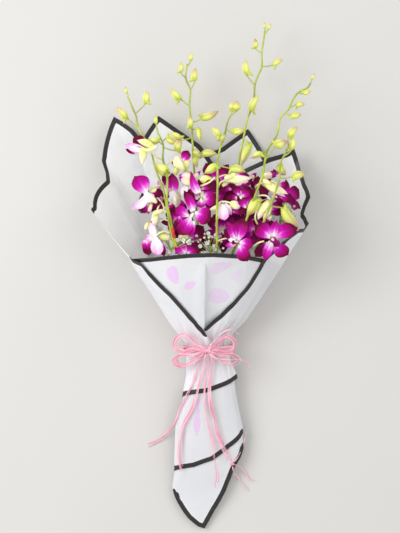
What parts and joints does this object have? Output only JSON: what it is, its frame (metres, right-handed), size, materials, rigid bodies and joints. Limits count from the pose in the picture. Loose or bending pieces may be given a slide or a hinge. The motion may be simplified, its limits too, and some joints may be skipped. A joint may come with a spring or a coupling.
{
  "type": "orchid bouquet",
  "caption": "Bouquet of dendrobium orchid sprays with gypsophila, wrapped in white film with a dark border and tied at the waist with pink raffia, lying on its back.",
  "frame": {"origin": "middle of the box of the bouquet as it lies, on the surface that it lies on", "axes": "+Y from the tip of the wrap towards the spray tips, +X to the right seen from the front, +Z out of the front of the bouquet, straight up"},
  "size_m": [0.2887, 0.66, 0.1229],
  "materials": {
    "film": "satin translucent film with a dark border",
    "petals": "soft waxy petal",
    "stems": "smooth living stem",
    "gypsophila": "dry matte",
    "raffia": "dry fibrous",
    "tape": "matte"
  },
  "bodies": {
    "root": {"film_collar": "film", "film_liner_left": "film", "film_liner_right": "film", "film_outer_left": "film", "film_outer_right": "film", "flower_bottom": "petals", "flower_cream": "petals", "flower_cross_right": "petals", "flower_deep_centre": "petals", "flower_deep_front": "petals", "flower_deep_left": "petals", "flower_deep_middle": "petals", "flower_deep_right": "petals", "flower_front": "petals", "flower_front_right": "petals", "flower_half_open": "petals", "flower_heart": "petals", "flower_inner_left": "petals", "flower_left": "petals", "flower_left_inner": "petals", "flower_left_profile": "petals", "flower_low_middle": "petals", "flower_low_right": "petals", "flower_lower_left": "petals", "flower_mid_left": "petals", "flower_mid_right": "petals", "flower_middle": "petals", "flower_right_back": "petals", "flower_right_inner": "petals", "flower_round": "petals", "flower_top_middle": "petals", "flower_upper_middle": "petals", "flower_upper_right": "petals", "gypsophila_left": "gypsophila", "gypsophila_middle": "gypsophila", "gypsophila_right": "gypsophila", "raffia_band": "raffia", "raffia_end_centre_long": "raffia", "raffia_end_curled": "raffia", "raffia_end_knotted_high": "raffia", "raffia_end_knotted_low": "raffia", "raffia_end_knotted_short": "raffia", "raffia_end_left_long": "raffia", "raffia_end_left_short": "raffia", "raffia_end_right_long": "raffia", "raffia_end_upper": "raffia", "raffia_knot": "raffia", "raffia_loop_left_lower": "raffia", "raffia_loop_left_upper": "raffia", "raffia_loop_right_lower": "raffia", "raffia_loop_right_upper": "raffia", "raffia_small_knot": "raffia", "spray_centre": "stems", "spray_far_left": "stems", "spray_far_right": "stems", "spray_left": "stems", "spray_middle": "stems", "spray_right": "stems", "spray_tall": "stems", "stem_tape": "tape"}
  },
  "joints": []
}
